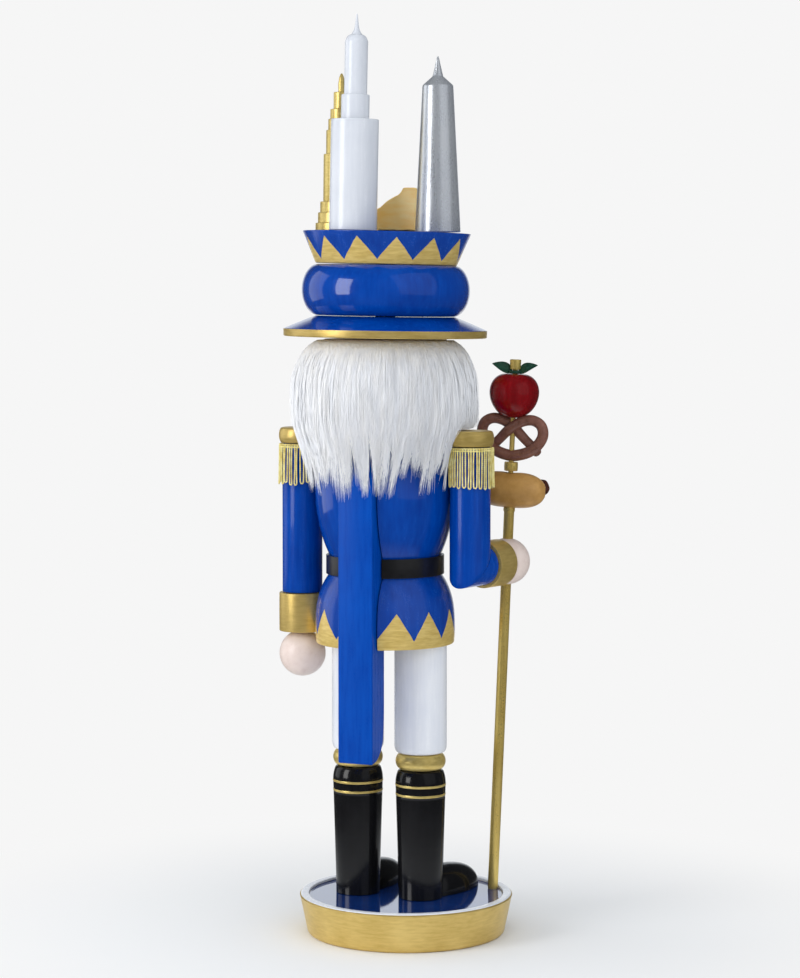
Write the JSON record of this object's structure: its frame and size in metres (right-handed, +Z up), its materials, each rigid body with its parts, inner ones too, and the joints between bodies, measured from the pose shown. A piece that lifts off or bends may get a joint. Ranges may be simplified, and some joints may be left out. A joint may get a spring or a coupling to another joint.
{
  "type": "nutcracker figure",
  "caption": "Standing turned-wood nutcracker soldier on a round base, with a hinged jaw lever down the back, a fur wig, fringed shoulders, a topped staff and towers on its hat.",
  "frame": {"origin": "centre of the round base's underside", "axes": "+Z up; the figure faces -Y, and its own left hand is at +X"},
  "size_m": [0.1328, 0.1088, 0.4603],
  "materials": {
    "base": "gold paint on the side, glossy blue floor",
    "boot": "gloss black lacquer",
    "knee_ring": "satin gold paint",
    "trouser": "gloss white lacquer",
    "coat": "gloss blue lacquer",
    "belt": "flat black band",
    "trim_gold": "satin gold paint",
    "skin": "satin flesh-coloured paint",
    "teeth": "gloss white paint",
    "fur": "white long-pile fur",
    "cord": "twisted gold cord",
    "dowel": "bare wood",
    "pin": "plain pin",
    "staff": "satin gold paint",
    "apple": "gloss red paint on resin",
    "leaf": "green paint",
    "pretzel": "gloss brown paint on resin",
    "bun": "satin tan paint on resin",
    "sausage": "gloss dark brown paint on resin",
    "tower_white": "gloss white lacquer",
    "tower_silver": "satin silver paint",
    "tower_gold": "satin gold paint",
    "plate": "satin amber-gold paint"
  },
  "bodies": {
    "figure": {"base_disc": "base", "boot_left": "boot", "boot_right": "boot", "toe_left": "boot", "toe_right": "boot", "knee_ring_left": "knee_ring", "knee_ring_right": "knee_ring", "trouser_left": "trouser", "trouser_right": "trouser", "leg_dowel_left": "dowel", "leg_dowel_right": "dowel", "waist_dowel": "dowel", "neck_dowel_left": "dowel", "neck_dowel_right": "dowel", "shoulder_peg_left": "dowel", "shoulder_peg_right": "dowel", "hat_dowel": "dowel", "lever_pin": "pin", "coat_skirt": "coat", "torso": "coat", "sleeve_left": "coat", "sleeve_right": "coat", "forearm_right": "coat", "hat_brim": "coat", "hat_roll": "coat", "hat_crown": "coat", "belt": "belt", "belt_buckle": "trim_gold", "button_braid": "trim_gold", "cuff_left": "trim_gold", "cuff_right": "trim_gold", "epaulette_left": "trim_gold", "epaulette_right": "trim_gold", "fringe_left": "cord", "fringe_right": "cord", "hand_left": "skin", "hand_right": "skin", "head": "skin", "nose": "skin", "upper_teeth": "teeth", "hair": "fur", "moustache": "fur", "staff": "staff", "staff_spacer": "staff", "stem": "staff", "apple": "apple", "leaves": "leaf", "pretzel": "pretzel", "bun": "bun", "sausage": "sausage", "tower_white": "tower_white", "tower_silver": "tower_silver", "tower_gold": "tower_gold", "hat_plate": "plate"},
    "lever": {"jaw_lever": "coat", "jaw": "skin", "lower_teeth": "teeth", "beard": "fur"}
  },
  "joints": [
    {"name": "jaw", "type": "hinge", "parent": "figure", "child": "lever", "pos_m": [0.0095, 0.0084, 0.2615], "axis": [1, 0, 0], "range_deg": [0, 15]}
  ]
}
